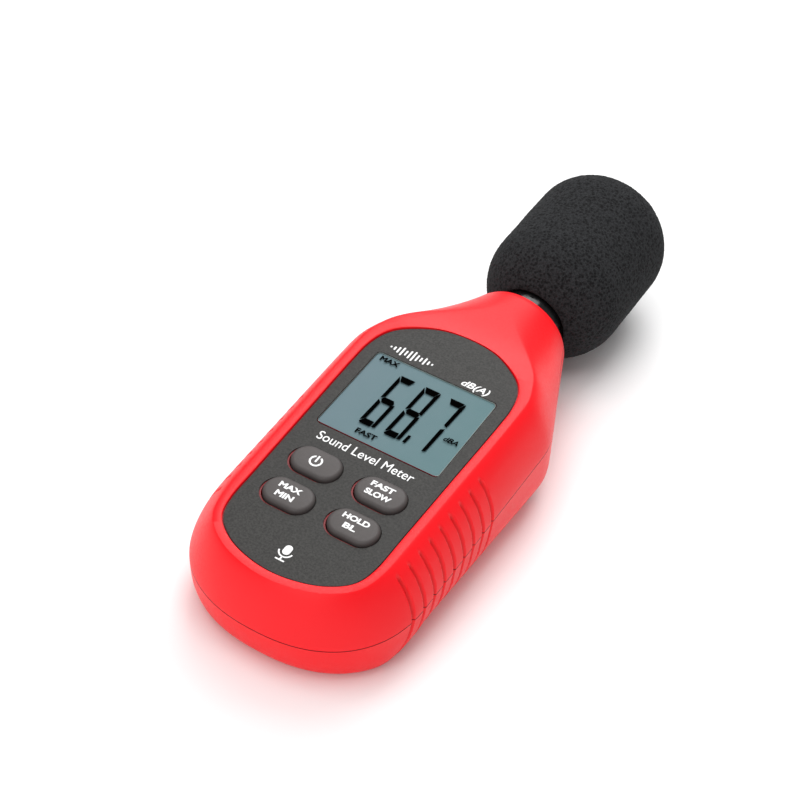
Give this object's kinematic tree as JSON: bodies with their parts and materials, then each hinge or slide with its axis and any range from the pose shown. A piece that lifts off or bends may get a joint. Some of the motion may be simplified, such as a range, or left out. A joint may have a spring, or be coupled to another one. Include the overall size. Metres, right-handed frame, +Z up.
{
  "type": "sound level meter",
  "caption": "Handheld sound level meter: wedge-backed two-shell case with face panel, display, keys, microphone tube, foam windscreen and a snap battery cover.",
  "frame": {"origin": "under the middle of the object's box, on the plane that the flat back lies on", "axes": "+Z up from the back, +Y towards the windscreen, +X to the reader's right"},
  "size_m": [0.0524, 0.16, 0.0369],
  "materials": {
    "red_case": "satin moulded ABS, light moulding texture",
    "panel_film": "matt printed film, dark grey",
    "clear_lens": "clear acrylic window",
    "display": "blue-green grey LCD",
    "key_rubber": "matt dark grey rubber keys with white print",
    "white_plastic": "white moulded plastic",
    "silicone": "grey translucent silicone",
    "board": "green solder mask",
    "chip_black": "moulded epoxy",
    "steel": "plated steel",
    "gloss_black": "gloss black tube",
    "foam": "black open-cell foam, speckled pores",
    "lead_red": "insulated wire",
    "lead_black": "insulated wire",
    "battery_jacket": "plain printed foil jacket",
    "label": "blank satin plate"
  },
  "bodies": {
    "root": {"front_case": "red_case", "rear_case": "red_case", "face_panel": "panel_film", "display_lens": "clear_lens", "lcd_cell": "display", "lcd_frame": "white_plastic", "light_guide": "white_plastic", "zebra_strip_upper": "silicone", "zebra_strip_lower": "silicone", "backlight_leds": "white_plastic", "main_board": "board", "board_screws": "steel", "keypad_web": "silicone", "key_domes": "steel", "main_chip": "chip_black", "amplifier_chip": "chip_black", "board_capacitors": "chip_black", "board_crystal": "steel", "mic_tube": "gloss_black", "mic_grommet": "lead_black", "mic_capsule": "steel", "mic_grille": "gloss_black", "mic_lead_signal": "lead_red", "mic_lead_ground": "lead_black", "battery_left": "battery_jacket", "battery_middle": "battery_jacket", "battery_right": "battery_jacket", "case_screws": "steel", "rear_label": "label", "contact_negative": "steel", "contact_bridge_lower": "steel", "contact_bridge_upper": "steel", "contact_positive": "steel"},
    "power_key": {"power_key": "key_rubber"},
    "fast_slow_key": {"fast_slow_key": "key_rubber"},
    "max_min_key": {"max_min_key": "key_rubber"},
    "hold_key": {"hold_key": "key_rubber"},
    "windscreen": {"windscreen": "foam"},
    "battery_cover": {"battery_cover": "red_case"}
  },
  "joints": [
    {"name": "power_key_press", "type": "slide", "parent": "root", "child": "power_key", "axis": [0, 0.1093, -0.994], "range_m": [0, 0.0009], "stiffness_N_per_m": 300, "springref_m": -0.001},
    {"name": "fast_slow_key_press", "type": "slide", "parent": "root", "child": "fast_slow_key", "axis": [0, 0.1093, -0.994], "range_m": [0, 0.0009], "stiffness_N_per_m": 300, "springref_m": -0.001},
    {"name": "max_min_key_press", "type": "slide", "parent": "root", "child": "max_min_key", "axis": [0, 0.1093, -0.994], "range_m": [0, 0.0009], "stiffness_N_per_m": 300, "springref_m": -0.001},
    {"name": "hold_key_press", "type": "slide", "parent": "root", "child": "hold_key", "axis": [0, 0.1093, -0.994], "range_m": [0, 0.0009], "stiffness_N_per_m": 300, "springref_m": -0.001},
    {"name": "windscreen_pull", "type": "slide", "parent": "root", "child": "windscreen", "axis": [0, 0.994, 0.1093], "range_m": [0, 0.034]},
    {"name": "battery_cover_open", "type": "hinge", "parent": "root", "child": "battery_cover", "pos_m": [0, -0.06616, 0], "axis": [-1, 0, 0], "range_deg": [0, 70]}
  ]
}
